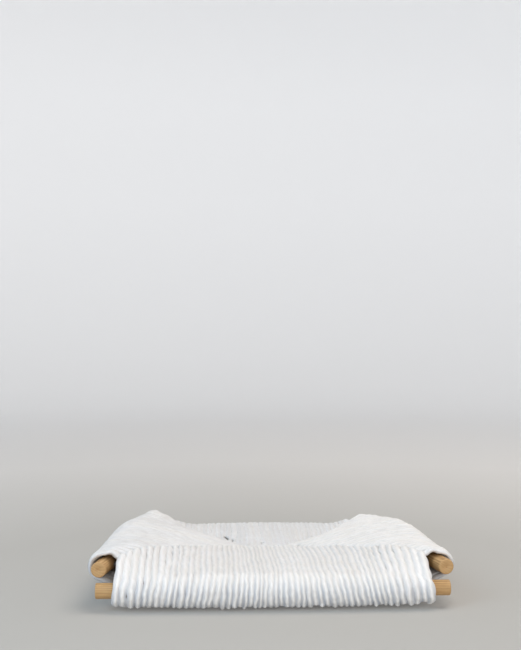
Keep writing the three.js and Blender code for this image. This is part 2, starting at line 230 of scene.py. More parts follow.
class SideRoll:
    """The roll round a side rail. A station is y, and inward is along x towards the middle."""

    axis = np.array([0.0, 1.0, 0.0])
    z = SIDE_Z
    wrap_gap = SIDE_WRAP_GAP

    def __init__(self, hand):
        self.hand = hand
        word = "left" if hand < 0 else "right"
        self.front, self.back = mounts[f"{word}_rail_front_end"], mounts[f"{word}_rail_back_end"]
        self.ends = (CORNER_FRONT_Y, CORNER_BACK_Y)

    def rail_x(self, y):
        share = (y - self.front[1]) / (self.back[1] - self.front[1])
        return abs(self.front[0]) + (abs(self.back[0]) - abs(self.front[0])) * share

    def share(self, y):
        return (y - CORNER_FRONT_Y) / (CORNER_BACK_Y - CORNER_FRONT_Y)

    def rail_radius(self, y):
        share = np.clip(self.share(y), 0, 1)
        return SIDE_RAIL[0] + (SIDE_RAIL[1] - SIDE_RAIL[0]) * arch(share ** 1.2) ** 2

    def roll_radius(self, y):
        """The left roll is wound a little looser than its rail asks for, and the right one tighter."""
        share = np.clip(self.share(y), 0, 1)
        near = self.near_back_post(y)
        if self.hand < 0:
            more = (LEFT_WIDER["middle"] * arch(share) ** 2 + LEFT_WIDER["back"] * near
                    + LEFT_WIDER["front"] * (1 - smooth(0.25, 0.42, share)))
        else:
            more = -(RIGHT_NARROWER["behind"] * smooth(0.38, 0.62, share) + RIGHT_NARROWER["back"] * near
                     + RIGHT_NARROWER["end"] * smooth(0.9, 0.98, share))
        return self.rail_radius(y) + self.wrap_gap + LAYER + more

    def near_back_post(self, y):
        return np.exp(-((self.share(y) - BESIDE_POST[0]) / BESIDE_POST[1]) ** 2)

    def crown(self, y, run):
        return CROWN * arch(run) + self.lump(y) * smooth(0.5, 1, run)

    def lump(self, y):
        """How much the stuffing is packed up against the rail, beside the left back post only."""
        return LUMP[0] * self.near_back_post(y) ** LUMP[1] if self.hand < 0 else 0.0

    def mitre_share(self, y):
        ahead = (y - CORNER_FRONT_Y) / (MEETING_Y - CORNER_FRONT_Y)
        behind = (CORNER_BACK_Y - y) / (CORNER_BACK_Y - MEETING_Y)
        return np.clip(np.where(y <= MEETING_Y, ahead, behind), 0, 1)

    def seam(self, y):
        clear = np.where(y <= MEETING_Y, FRONT_CLEAR, BACK_CLEAR)
        return self.rail_x(y) - (clear + (BRIDGE_HALF - clear) * self.mitre_share(y))

    def top(self, y):
        share = self.mitre_share(y)
        dip = corner_dip(share, RIGHT_CORNER_DIP) if self.hand > 0 else 0.0
        return np.where(y <= MEETING_Y, front_seam_top(share), back_seam_top(share) - dip)

    def bottom(self, y):
        return seam_bottom(self.mitre_share(y))

    def lean(self, y):
        return SIDE_LEAN * arch(self.share(y)) * np.sign(y - MEETING_Y)

    def flare(self, y, angle):
        return 0.0 * angle

    def place(self, station, inward, z):
        return np.stack([self.hand * (self.rail_x(station) - inward), station, z], axis=-1)


front_roll = EndRoll(FRONT_Y, 1, FRONT_CLEAR, CORNER_FRONT_Y, front_seam_top, lean=8.0, flare=5.0, sag=2.0)
back_roll = EndRoll(BACK_Y, -1, BACK_CLEAR, CORNER_BACK_Y, back_seam_top, lean=4.0, flare=2.0, sag=0.0)
left_roll = SideRoll(-1)
right_roll = SideRoll(1)


# ---------------------------------------------------------------- a strand's centreline
SEAM_GAP = 0.6                      # between a seam and the strands that dive into it
DIVE = 5.0                          # radius of the bend where a strand dives into a seam
DIVE_DEPTH = 6.0                    # how much further down it goes
LUMP_REACH = math.radians(36)       # how far round the roll a lump of stuffing goes
FLARE_ON_TOP = 0.6                  # share of a strand's flare that it has before it rounds the roll
FLARE_AT_SEAM = 0.3                 # share of that which it has at the seam


def touch_angle(inward, rise, radius, turn):
    """Angle about the rail at which a straight run from the seam touches the roll."""
    return math.atan2(rise, inward) + turn * math.acos(min(1.0, radius / math.hypot(inward, rise)))


def run_to_roll(roll, station, radius, seam_z, turn):
    """Seam point, and the angle and point at which the run touches the roll."""
    seam = float(roll.seam(station))
    angle = touch_angle(seam, seam_z - roll.z, radius, turn)
    return seam, angle, (radius * math.cos(angle), roll.z + radius * math.sin(angle))


def dive_points(seam, z, downward):
    """A quarter bend from the seam into the seat, from its inner end to the run."""
    turn = np.linspace(0, math.pi / 2, 7)
    inward = seam - SEAM_GAP - DIVE * (1 - np.cos(turn))
    bend = z - downward * DIVE * (1 - np.sin(turn))
    inward = np.concatenate([[seam - SEAM_GAP], inward])
    return inward, np.concatenate([[z - downward * (DIVE + DIVE_DEPTH)], bend])


def centreline(roll, station, half):
    """A strand's middle line from the top seam to the bottom one, in rough points.

    It gives their inward distances, heights, stations, step sizes and angles about the rail.
    """
    shift = float(roll.lean(station))
    under = station + shift
    radius = float(roll.roll_radius(station + shift / 2)) - half
    top_z = float(roll.top(station)) - half
    low_z = float(roll.bottom(under)) + half
    seam_a, angle_a, touch_a = run_to_roll(roll, station, radius, top_z, 1)
    seam_b, angle_b, touch_b = run_to_roll(roll, under, radius, low_z, -1)
    angle_b += 2 * math.pi

    run = np.linspace(0, 1, 24)[1:-1]
    start_a, start_b = seam_a - SEAM_GAP - DIVE, seam_b - SEAM_GAP - DIVE
    dive_a = dive_points(seam_a, top_z, 1)
    dive_b = dive_points(seam_b, low_z, -1)
    turn = np.linspace(angle_a, angle_b, 40)
    reach = radius + float(roll.lump(station)) * (1 - smooth(0, LUMP_REACH, turn - angle_a))
    inward = np.concatenate([
        dive_a[0], start_a + (touch_a[0] - start_a) * run, reach * np.cos(turn),
        touch_b[0] + (start_b - touch_b[0]) * run, dive_b[0][::-1]])
    z = np.concatenate([
        dive_a[1], top_z + (touch_a[1] - top_z) * run + roll.crown(station, run),
        roll.z + reach * np.sin(turn), touch_b[1] + (low_z - touch_b[1]) * run, dive_b[1][::-1]])
    before, after = len(dive_a[0]) + len(run), len(run) + len(dive_b[0])
    outward = np.sign(station)
    at_top = FLARE_ON_TOP * abs(float(roll.flare(station, math.pi)))
    least = at_top * (1 - smooth(*FLARE_FADES, turn))
    flare = np.maximum(np.abs(roll.flare(station, turn)), least) * outward
    moved = np.concatenate([
        np.linspace(FLARE_AT_SEAM, 1, before) * at_top * outward,
        flare + shift * smooth(angle_a, angle_b, turn), np.full(after, shift)])
    steps = np.concatenate([
        np.full(len(dive_a[0]), BEND_STEP), np.full(len(run), RUN_STEP), np.full(len(turn), BEND_STEP),
        np.full(len(run), RUN_STEP), np.full(len(dive_b[0]), BEND_STEP)])
    angle = np.concatenate([np.full(before, angle_a), turn, np.full(after, angle_b)])
    return inward, z, station + moved, steps, angle


def in_steps(points, steps, angle):
    """The same line with points at its own step sizes, and the length and roll angle at each point."""
    lengths = np.linalg.norm(np.diff(points, axis=0), axis=1)
    length = np.concatenate([[0], np.cumsum(lengths)])
    effort = np.concatenate([[0], np.cumsum(lengths / ((steps[1:] + steps[:-1]) / 2))])
    count = max(6, int(effort[-1]))
    at = np.interp(np.linspace(0, effort[-1], count), effort, length)
    line = np.stack([np.interp(at, length, points[:, i]) for i in range(3)], axis=1)
    return line, at, np.interp(at, length, angle)


# ---------------------------------------------------------------- twisted tubes
TWIST_LENGTH = (34.0, 58.0)         # of one full turn of a strand's two plies
PLY = (0.07, 0.13)                  # how far its two plies stand out of a round section
PEAK = (1.55, 1.3, 1.8)             # 2 makes a round crest and less a narrower one: on top, low, beneath
GROOVE = (math.radians(8), math.radians(36))     # angle off the crest where a groove's painted shade starts, and is full
CREST_SHARE = 0.3                   # painted highlight on the crest, for each part of painted shade in its groove
TONE_STEP = 1000                    # shifts each strand to its own stretch of the fibre texture


def wave(rng, along, lengths, size):
    """A smooth random wave along a strand, from a sine of each of the given lengths."""
    total = np.zeros_like(along)
    for length in lengths:
        total += np.sin(2 * math.pi * (along / length + rng.random())) * rng.uniform(0.5, 1.0)
    return size * total / math.sqrt(len(lengths))


def tube(line, along, across, half_wide, half_thick, skew, lift, peak, paint, rng, sides=STRAND_SIDES):
    """One closed strand as a part: vertices, faces and the values at each vertex.

    across is the direction along the rail, which a strand is widest in. The other arrays run along the
    line: skew moves the crest sideways, lift raises it, and peak is 2 for a round crest and less for a
    narrower one. paint has three columns: how well paint covers it, a number from 0 to 1 for the
    strand's own tone, and how much painted shade its grooves get, which is a painted highlight on its
    crest. The strand values are the length along it and the girth round it, measured along its twist.
    """
    heading = np.gradient(line, axis=0)
    heading /= np.linalg.norm(heading, axis=1)[:, None]
    out = np.cross(heading, across)
    out /= np.linalg.norm(out, axis=1)[:, None]
    side = np.cross(out, heading)
    phi = np.linspace(-math.pi, math.pi, sides, endpoint=False)
    outer = np.cos(phi) > 0
    peak = peak[:, None]
    reach = np.where(outer, (np.abs(np.cos(phi)) ** peak + np.abs(np.sin(phi)) ** peak) ** (-1 / peak), 1.0)
    spiral = phi - (2 * math.pi * along / rng.uniform(*TWIST_LENGTH))[:, None] - rng.uniform(0, math.pi)
    reach = reach * (1 + rng.uniform(*PLY) * (np.cos(2 * spiral) - 0.25))
    crest = np.where(outer, np.cos(phi) ** 2, 0.0)
    count = len(line)
    end_steps = np.minimum(np.arange(count), np.arange(count)[::-1])
    taper = np.select([end_steps == 0, end_steps == 1], [0.55, 0.88], 1.0)[:, None]
    up = half_thick[:, None] * np.cos(phi) * reach * taper + lift[:, None] * crest
    wide = half_wide[:, None] * np.sin(phi) * reach * taper + skew[:, None] * crest
    rings = line[:, None, :] + up[..., None] * out[:, None, :] + wide[..., None] * side[:, None, :]
    verts = np.concatenate([rings.reshape(-1, 3), line[:1] - heading[:1], line[-1:] + heading[-1:]])
    quads, caps = ring_faces(count, sides)
    # Painted shade in the grooves, and below 0 a painted highlight on the crest.
    groove = (1 + CREST_SHARE) * smooth(*GROOVE, np.abs(phi)) - CREST_SHARE
    lengthwise = np.broadcast_to(along[:, None] + TONE_STEP * paint[:, 1:2], (count, sides))
    values = np.stack([lengthwise, spiral * STRAND_HALF, np.zeros((count, sides))], axis=-1).reshape(-1, 3)
    values = np.concatenate([values, values[[0, -1]]])
    paint = np.repeat(paint, sides, axis=0)
    paint[:, 2] *= np.tile(groove, count)
    return verts, quads, caps, values, np.concatenate([paint, paint[[0, -1]]])


def ring_faces(count, sides):
    """Quads between rings of vertices, and fans to one tip vertex at each end, stored after the rings."""
    i, j = np.meshgrid(np.arange(count - 1), np.arange(sides), indexing="ij")
    a, b = i * sides + j, i * sides + (j + 1) % sides
    quads = np.stack([a, b, b + sides, a + sides], axis=-1).reshape(-1, 4)
    ring, last = np.arange(sides), (count - 1) * sides
    ahead = (ring + 1) % sides
    start = np.stack([np.full(sides, count * sides), ahead, ring], axis=1)
    end = np.stack([np.full(sides, count * sides + 1), last + ring, last + ahead], axis=1)
    return quads, np.concatenate([start, end])


def mesh_piece(name, parts, material):
    """One smooth object from parts of (vertices, quads, triangles, strand values, paint values)."""
    faces, start = [], 0
    for verts, quads, tris, _, _ in parts:
        faces.extend((quads + start).tolist())
        faces.extend((tris + start).tolist())
        start += len(verts)
    mesh = bpy.data.meshes.new(name)
    mesh.from_pydata((np.concatenate([part[0] for part in parts]) / MM).tolist(), [], faces)
    for i, attribute_name in ((3, "strand"), (4, "paint")):
        attribute = mesh.attributes.new(attribute_name, "FLOAT_VECTOR", "POINT")
        values = np.concatenate([part[i] for part in parts]).astype(np.float32)
        attribute.data.foreach_set("vector", values.ravel())
    mesh.polygons.foreach_set("use_smooth", [True] * len(mesh.polygons))
    mesh.materials.append(material)
    mesh.update()
    piece = bpy.data.objects.new(name, mesh)
    bpy.context.scene.collection.objects.link(piece)
    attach(piece, "root")
    return piece


# ---------------------------------------------------------------- materials
def new_material(name, roughness, specular=0.5, metallic=0.0):
    material = bpy.data.materials.new(name)
    material.use_nodes = True
    shader = material.node_tree.nodes["Principled BSDF"]
    shader.inputs["Roughness"].default_value = roughness
    shader.inputs["Specular IOR Level"].default_value = specular
    shader.inputs["Metallic"].default_value = metallic
    return material, material.node_tree, shader


def node(tree, kind, **settings):
    made = tree.nodes.new(kind)
    for key, value in settings.items():
        if key in made.inputs:
            made.inputs[key].default_value = value
        else:
            setattr(made, key, value)
    return made


def attribute_vector(tree, name, scales):
    """A mesh attribute with three parts, each multiplied by a scale."""
    source = node(tree, "ShaderNodeAttribute", attribute_name=name)
    scale = node(tree, "ShaderNodeVectorMath", operation="MULTIPLY")
    scale.inputs[1].default_value = scales
    tree.links.new(source.outputs["Vector"], scale.inputs[0])
    return scale.outputs["Vector"]


def attribute_parts(tree, name):
    source = node(tree, "ShaderNodeAttribute", attribute_name=name)
    split = node(tree, "ShaderNodeSeparateXYZ")
    tree.links.new(source.outputs["Vector"], split.inputs[0])
    return split.outputs["X"], split.outputs["Y"], split.outputs["Z"]


def mapped(tree, value, at_zero, at_one):
    made = node(tree, "ShaderNodeMapRange", **{"To Min": at_zero, "To Max": at_one})
    tree.links.new(value, made.inputs["Value"])
    return made.outputs["Result"]


def noise(tree, vector, detail=3.0, roughness=0.55):
    made = node(tree, "ShaderNodeTexNoise", Scale=1.0, Detail=detail, Roughness=roughness)
    tree.links.new(vector, made.inputs["Vector"])
    return made.outputs["Fac"]


def ramp(tree, value, stops):
    made = node(tree, "ShaderNodeValToRGB")
    elements = made.color_ramp.elements
    while len(elements) < len(stops):
        elements.new(0.5)
    for element, (position, colour) in zip(elements, stops):
        element.position = position
        element.color = (*colour, 1.0)
    tree.links.new(value, made.inputs["Fac"])
    return made.outputs["Color"]


def feed(tree, made, values):
    """Link or set each of a node's inputs, given by its number."""
    for socket, value in values.items():
        if isinstance(value, bpy.types.NodeSocket):
            tree.links.new(value, made.inputs[socket])
        else:
            made.inputs[socket].default_value = value
    return made


MIX_FACTOR, MIX_FIRST, MIX_SECOND, MIX_RESULT = 0, 6, 7, 2     # a mix node's sockets for colours


def mixed(tree, factor, first, second):
    made = node(tree, "ShaderNodeMix", data_type="RGBA")
    return feed(tree, made, {MIX_FACTOR: factor, MIX_FIRST: first, MIX_SECOND: second}).outputs[MIX_RESULT]


def math_node(tree, operation, first, second=0.0):
    return feed(tree, node(tree, "ShaderNodeMath", operation=operation), {0: first, 1: second}).outputs[0]


def bumped(tree, shader, height, strength, distance):
    bump = node(tree, "ShaderNodeBump", Strength=strength, Distance=distance)
    tree.links.new(height, bump.inputs["Height"])
    tree.links.new(bump.outputs["Normal"], shader.inputs["Normal"])


def linear(red, green, blue):
    """A linear colour from display values of 0 to 255. The formula holds above 10, as all here are."""
    return tuple(((value / 255 + 0.055) / 1.055) ** 2.4 for value in (red, green, blue))


def solid(red, green, blue):
    return (*linear(red, green, blue), 1.0)


def object_vector(tree, lengths=(1.0, 1.0, 1.0)):
    """Coordinates of the object in millimetres, each divided by a length."""
    coordinates = node(tree, "ShaderNodeTexCoord")
    scale = node(tree, "ShaderNodeVectorMath", operation="MULTIPLY")
    scale.inputs[1].default_value = tuple(MM / length for length in lengths)
    tree.links.new(coordinates.outputs["Object"], scale.inputs[0])
    return scale.outputs["Vector"]


def ply_height(tree, fibres, fibre_share):
    """Relief of a strand: the groove between its two plies, and the fibres along its twist."""
    girth = attribute_parts(tree, "strand")[1]
    turn = math_node(tree, "COSINE", math_node(tree, "DIVIDE", girth, STRAND_HALF))
    plies = math_node(tree, "POWER", math_node(tree, "ABSOLUTE", turn), 0.4)
    return math_node(tree, "ADD", plies, math_node(tree, "MULTIPLY", fibres, fibre_share))


def painted_rush():
    """Chalky white paint brushed over twisted rush: fibres show through, grooves keep less paint and get
    painted shade, and crests get a painted highlight.

    The paint attribute says how well the brush covered a place, which is least beneath the seat. Its
    last value is above 0 in a groove, where it gives a blue grey painted shade, and below 0 on a crest,
    where it gives a painted highlight of brighter white.
    """
    material, tree, shader = new_material("painted_rush", 0.55, specular=0.4)
    fibres = noise(tree, attribute_vector(tree, "strand", (0.06, 1.3, 0.0)), 5.0, 0.65)
    patches = noise(tree, object_vector(tree, (38, 38, 38)), 3.0)
    specks = noise(tree, object_vector(tree, (2.2, 2.2, 2.2)), 2.0)
    coat = ramp(tree, patches, [(0.3, linear(229, 226, 222)), (0.7, linear(238, 238, 239))])
    fibre_tone = ramp(tree, fibres, [(0.32, linear(205, 201, 194)), (0.55, linear(243, 243, 243))])
    streaked = mixed(tree, 0.4, coat, fibre_tone)
    cover, pick, shade = attribute_parts(tree, "paint")
    tinted = mixed(tree, math_node(tree, "MULTIPLY", pick, 0.4), streaked, solid(224, 221, 216))
    # Painted highlight: crests turn a brighter white, most of all low on the roll.
    crest = mixed(tree, math_node(tree, "MULTIPLY", shade, -4.0), tinted, solid(249, 250, 251))
    # Painted shade: grooves turn blue grey, most of all low on the roll.
    painted_valley_shade = mixed(tree, shade, crest, solid(194, 199, 207))
    bare = math_node(tree, "MULTIPLY", mapped(tree, cover, 1.0, 0.0), mapped(tree, specks, 0.0, 1.6))
    bare = math_node(tree, "MULTIPLY", bare, mapped(tree, shade, 0.5, 1.0))
    rush = ramp(tree, fibres, [(0.3, linear(126, 103, 68)), (0.65, linear(178, 155, 112))])
    tree.links.new(mixed(tree, bare, painted_valley_shade, rush), shader.inputs["Base Color"])
    tree.links.new(mapped(tree, fibres, 0.42, 0.7), shader.inputs["Roughness"])
    relief = math_node(tree, "ADD", ply_height(tree, fibres, 1.3), math_node(tree, "MULTIPLY", specks, 0.5))
    bumped(tree, shader, relief, 0.6, 0.0006)
    return material


def raw_rush():
    """Dry unpainted rush, in long pale and dark fibres."""
    material, tree, shader = new_material("raw_rush", 0.85, specular=0.25)
    fibres = noise(tree, attribute_vector(tree, "strand", (0.04, 1.1, 0.0)), 5.0, 0.6)
    pick = attribute_parts(tree, "paint")[1]
    colour = ramp(tree, fibres, [
        (0.25, linear(118, 96, 58)), (0.55, linear(176, 150, 98)), (0.8, linear(205, 184, 138))])
    green = mixed(tree, math_node(tree, "MULTIPLY", pick, 0.45), colour, solid(134, 132, 84))
    tree.links.new(green, shader.inputs["Base Color"])
    bumped(tree, shader, ply_height(tree, fibres, 1.5), 0.7, 0.0007)
    return material


def rail_wood():
    """Plain turned wood: growth rings round an off-centre pith, pores, and faint marks of the tool."""
    material, tree, shader = new_material("rail_wood", 0.55, specular=0.35)
    rings = node(tree, "ShaderNodeTexWave", wave_type="RINGS", rings_direction="X", Scale=0.19,
                 Distortion=2.2, Detail=3.0, **{"Detail Scale": 0.6})
    offset = node(tree, "ShaderNodeVectorMath", operation="ADD")
    offset.inputs[1].default_value = (0.0, 5.0, 22.0)
    tree.links.new(attribute_vector(tree, "strand", (0.06, 1.0, 1.0)), offset.inputs[0])
    tree.links.new(offset.outputs["Vector"], rings.inputs["Vector"])
    pores = noise(tree, attribute_vector(tree, "strand", (0.05, 1.6, 1.6)), 5.0, 0.65)
    lathe = noise(tree, attribute_vector(tree, "strand", (1.3, 0.0, 0.0)), 2.0)
    tone = math_node(tree, "ADD", math_node(tree, "MULTIPLY", rings.outputs["Fac"], 0.3),
                     math_node(tree, "MULTIPLY", pores, 0.7))
    colour = ramp(tree, tone, [
        (0.25, linear(150, 112, 70)), (0.5, linear(188, 150, 102)), (0.8, linear(213, 181, 134))])
    tree.links.new(colour, shader.inputs["Base Color"])
    tree.links.new(mapped(tree, pores, 0.45, 0.7), shader.inputs["Roughness"])
    bumped(tree, shader, math_node(tree, "ADD", pores, lathe), 0.35, 0.0003)
    return material


def tack_steel():
    """Dull steel with a hammered face and rust in its low spots."""
    material, tree, shader = new_material("tack_steel", 0.42, metallic=1.0)
    marks = noise(tree, object_vector(tree, (1.1, 1.1, 1.1)), 3.0)
    colour = ramp(tree, marks, [
        (0.3, linear(120, 92, 74)), (0.5, linear(140, 138, 136)), (0.7, linear(186, 187, 189))])
    tree.links.new(colour, shader.inputs["Base Color"])
    tree.links.new(mapped(tree, marks, 0.6, 0.3), shader.inputs["Roughness"])
    bumped(tree, shader, marks, 0.3, 0.0002)
    return material


PAINTED = painted_rush()
RAW = raw_rush()
WOOD = rail_wood()
STEEL = tack_steel()


# ---------------------------------------------------------------- the woven strands
def stations_of(roll, counts, rng):
    """The middle and the width of each strand along a rail, in groups, with uneven widths."""
    start, end = roll.ends
    total = sum(counts)
    widths = 1 + rng.normal(0, 0.12, total).clip(-0.24, 0.28)
    widths *= (end - start) / widths.sum()
    edges = start + np.concatenate([[0], np.cumsum(widths)])
    middles = (edges[:-1] + edges[1:]) / 2
    bounds = np.cumsum([0, *counts])
    return [list(zip(middles[a:b], widths[a:b])) for a, b in zip(bounds[:-1], bounds[1:])]


# Places where two neighbouring strands stand apart: station, distance from the seam, and length.
LOOSE = {
    "front": [(77, 1, 6), (123, 1, 7), (134, 1, 5), (-118, 1, 8), (-64, 30, 14)],
    "back": [(-50.7, 15, 15), (-43.3, 11, 16), (-6, 14, 7)],
    "left": [(-64, 2, 9)],
    "right": [(-86, 2, 8), (20, 6, 9)],
}
LOOSE_REACH = 0.75                  # of a strand's width, within which a strand makes way
LOOSE_NARROW, LOOSE_ASIDE = 0.5, 1.3     # how much of its width it loses, and how far it moves
BEAD_SHARE = 0.45                   # of the strands, with a bead of paint that dried under the roll
GROOVE_SHADE = (0.26, 0.82)         # how dark the painted shade in the grooves is, and how bright the painted highlight on the crests, on top and low on the roll
PAINT_LOST = 0.8                    # share of the paint that is missing beneath the seat
SPREAD_LOST = 0.06                  # how much less a strand's foot spreads low on the roll
FANNED = 0.1                        # how much wider the strands beside a post are
KNUCKLE, KNUCKLE_REACH = 0.16, 5    # how much thicker a strand is where it comes out of the seam
KNUCKLE_AT = DIVE + DIVE_DEPTH + 4
TOP_LEAN = 0.85                     # share of its lean by which a strand starts nearer to the middle
STEADY = 12                         # length at its ends along which a strand wanders less


def make_way(places, station, width, along):
    """How much narrower a strand is, and how far it moves aside, by its loose places."""
    narrow, aside = np.ones_like(along), np.zeros_like(along)
    for at, start, length in places:
        away = (station - at) / width
        if abs(away) < LOOSE_REACH:
            near = np.exp(-((along - DIVE - start - length / 2) / (length / 2)) ** 4)
            narrow -= LOOSE_NARROW * near
            aside += (LOOSE_ASIDE if away > 0 else -LOOSE_ASIDE) * near
    return narrow, aside


def strand(roll, loose, station, width, rng, drift):
    """One strand of a roll as a tube. drift is the phase of the waves that neighbours share."""
    half = STRAND_HALF * rng.uniform(0.94, 1.05)
    top_station = station - float(roll.lean(station)) * TOP_LEAN
    inward, z, places, steps, angle = centreline(roll, top_station, half)
    line, along, angle = in_steps(roll.place(places, inward, z), steps, angle)
    fade = np.minimum(1, np.minimum(along, along[-1] - along) / STEADY)
    shared = 0.5 * np.sin(along / 21 + drift) + 0.3 * np.sin(along / 9.5 + 2.3 * drift)
    narrow, aside = make_way(loose, station, width, along)
    sideways = (shared + wave(rng, along, (70, 38, 19), 0.3)) * fade + aside
    line = line + sideways[:, None] * roll.axis
    low_on_roll = smooth(*LOW_ON_ROLL, angle)
    fanned = 1 + FANNED * smooth(0.6, 1, abs(station) / roll.ends[1])
    spread = (SPREAD - SPREAD_LOST * low_on_roll) * fanned
    half_wide = 0.5 * width * spread * (1 + wave(rng, along, (60, 26, 13), 0.05)) * narrow
    peak = PEAK[0] + (PEAK[1] - PEAK[0]) * low_on_roll + rng.uniform(-0.12, 0.12)
    peak = peak + (PEAK[2] - peak) * smooth(*BENEATH, angle)
    knuckle = KNUCKLE * np.exp(-((along - KNUCKLE_AT) / KNUCKLE_REACH) ** 2)
    half_thick = half * (1 + wave(rng, along, (45, 17), 0.045) + knuckle)
    skew = wave(rng, along, (44, 21, 12), 0.11) * half_wide
    lift = (wave(rng, along, (34, 15, 7), 0.26) + rng.normal(0, 0.28)) * (1 + 0.8 * low_on_roll)
    if rng.random() < BEAD_SHARE:
        bead_at = np.interp(math.radians(rng.uniform(*BEAD_DEGREES)), angle, along)
        lift = lift + rng.uniform(0.7, 1.7) * np.exp(-((along - bead_at) / rng.uniform(1.5, 2.6)) ** 2)
    cover = 1 - PAINT_LOST * smooth(*THINLY_PAINTED, angle)
    # Painted shade for the grooves and painted highlight for the crests, stronger low on the roll.
    shade = GROOVE_SHADE[0] + (GROOVE_SHADE[1] - GROOVE_SHADE[0]) * low_on_roll
    shade = shade * rng.uniform(0.7, 1.3)
    paint = np.stack([cover, np.full_like(cover, rng.random()), shade], axis=-1)
    return tube(line, along, roll.axis, half_wide, half_thick, skew, lift, peak, paint, rng)


def weave(roll, word, counts, names, seed):
    """The strands of one roll, in the same pieces as the frame has them."""
    rng = np.random.default_rng(seed)
    for name, group in zip(names, stations_of(roll, counts, rng)):
        parts = [strand(roll, LOOSE[word], middle, width, rng, middle / 16) for middle, width in group]
        piece = mesh_piece(name + "_strands", parts, PAINTED)
        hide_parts(name)


weave(front_roll, "front", ROUNDS_FRONT, [
    "front_left_filler_weave", "front_left_weave", "front_bridge_weave", "front_right_weave",
    "front_right_filler_weave"], 11)
weave(back_roll, "back", ROUNDS_BACK, ["back_left_weave", "back_bridge_weave", "back_right_weave"], 12)
weave(left_roll, "left", ROUNDS_SIDE, ["left_filler_weave", "left_front_weave", "left_back_weave"], 13)
weave(right_roll, "right", ROUNDS_SIDE, ["right_filler_weave", "right_front_weave", "right_back_weave"], 14)


# ---------------------------------------------------------------- inside the pockets
def pocket_heights(roll, station, inward):
    """Height of the underside of the top strands and of the top of the lower ones, and their middle."""
    radius = float(roll.rail_radius(station)) + roll.wrap_gap
    heights = []
    for seam_z, turn in ((float(roll.top(station)) - LAYER, 1), (float(roll.bottom(station)) + LAYER, -1)):
        seam, _, touch = run_to_roll(roll, station, radius, seam_z, turn)
        share = np.clip((seam - inward) / (seam - touch[0]), 0, 1)
        heights.append(seam_z + (touch[1] - seam_z) * share + (CROWN * arch(share) if turn > 0 else 0))
    ceiling, ground = heights[0] - SLACK, heights[1] + SLACK
    return ceiling, ground, (ceiling + ground) / 2


CROSSING_SIDES = 10
LANE_START = 4.0                    # from a post's corner to the first crossing strand
LANE_END = 1.0                      # and from the last one to the line where the pockets meet


def crossing_strand(points, width, rng):
    """One strand that crosses a pocket, from seam to seam."""
    line, along, _ = in_steps(points, np.full(len(points), RUN_STEP), np.zeros(len(points)))
    heading = line[-1] - line[0]
    across = np.cross(heading / np.linalg.norm(heading), [0.0, 0.0, 1.0])
    line = line + wave(rng, along, (80, 33), 0.5)[:, None] * across
    half_wide = 0.5 * width * 0.96 * (1 + wave(rng, along, (40, 15), 0.05))
    half_thick = 0.5 * CROSSING * (1 + wave(rng, along, (30, 12), 0.05))
    skew, lift = np.zeros_like(along), wave(rng, along, (24, 9), 0.15)
    paint = np.tile([0.0, rng.random(), 0.0], (len(along), 1))
    peak = np.full_like(along, PEAK[2])
    return tube(line, along, across, half_wide, half_thick, skew, lift, peak, paint, rng, CROSSING_SIDES)


def crossing_piece(word, lanes, ends_of, point_of, seed):
    """The strands across one pocket: ends_of gives a lane's two ends, and point_of a place on it."""
    rng = np.random.default_rng(seed)
    parts = []
    width = abs(lanes[1] - lanes[0])
    for lane in lanes:
        start, end = ends_of(lane)
        points = [point_of(lane, along) for along in np.linspace(start, end, 24)]
        parts.append(crossing_strand(np.array(points), width, rng))
    piece = mesh_piece(word + "_crossing_strands", parts, RAW)
    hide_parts(word + "_crossing")


def lanes_between(start, end, count):
    edges = np.linspace(start, end, count + 1)
    return (edges[:-1] + edges[1:]) / 2


def end_pocket(roll):
    """How lanes along x lie in the front or the back pocket."""
    def ends_of(y):
        share = (y - roll.corner_y) / (MEETING_Y - roll.corner_y)
        reach = roll.clear - (roll.clear - BRIDGE_HALF) * share - PAD_END
        return -reach, reach

    def point_of(y, x):
        return np.array([x, y, pocket_heights(roll, x, roll.inward * (y - roll.rail_y))[2]])
    return ends_of, point_of


def side_pocket(roll):
    """How lanes along y lie in a side pocket."""
    def ends_of(reach):
        ahead = CORNER_FRONT_Y + (MEETING_Y - CORNER_FRONT_Y) * mitre_share_x(reach, FRONT_CLEAR)
        behind = CORNER_BACK_Y + (MEETING_Y - CORNER_BACK_Y) * mitre_share_x(reach, BACK_CLEAR)
        return ahead + PAD_END, behind - PAD_END

    def point_of(reach, y):
        inward = float(roll.rail_x(y)) - reach
        return np.array([roll.hand * reach, y, pocket_heights(roll, y, inward)[2]])
    return ends_of, point_of


front_lanes = lanes_between(CORNER_FRONT_Y + LANE_START, MEETING_Y - LANE_END, 23)
back_lanes = lanes_between(MEETING_Y + LANE_END, CORNER_BACK_Y - LANE_START, 14)
side_lanes = lanes_between(BRIDGE_HALF + LANE_START, BACK_CLEAR - LANE_START, 14)
crossing_piece("front", front_lanes, *end_pocket(front_roll), 21)
crossing_piece("back", back_lanes, *end_pocket(back_roll), 22)
crossing_piece("left", side_lanes, *side_pocket(left_roll), 23)
crossing_piece("right", side_lanes, *side_pocket(right_roll), 24)

OFFCUT = 5.2                        # width of one packed offcut of rush
PAD_SIDES = 44
PAD_RINGS = 150
PAD_CLEAR = 5.0                     # from a post's corner to the end of a pad
PAD_ROUND = (0.45, 0.55)            # 1 is round and 0 square, across and upward


def layer_span(roll, layer, station, inward):
    """Lowest and highest place of the upper or the lower pad."""
    ceiling, ground, middle = pocket_heights(roll, station, inward)
    if layer == "upper":
        return middle + CROSSING / 2 + LAYER_GAP, ceiling
    return ground, middle - CROSSING / 2 - LAYER_GAP


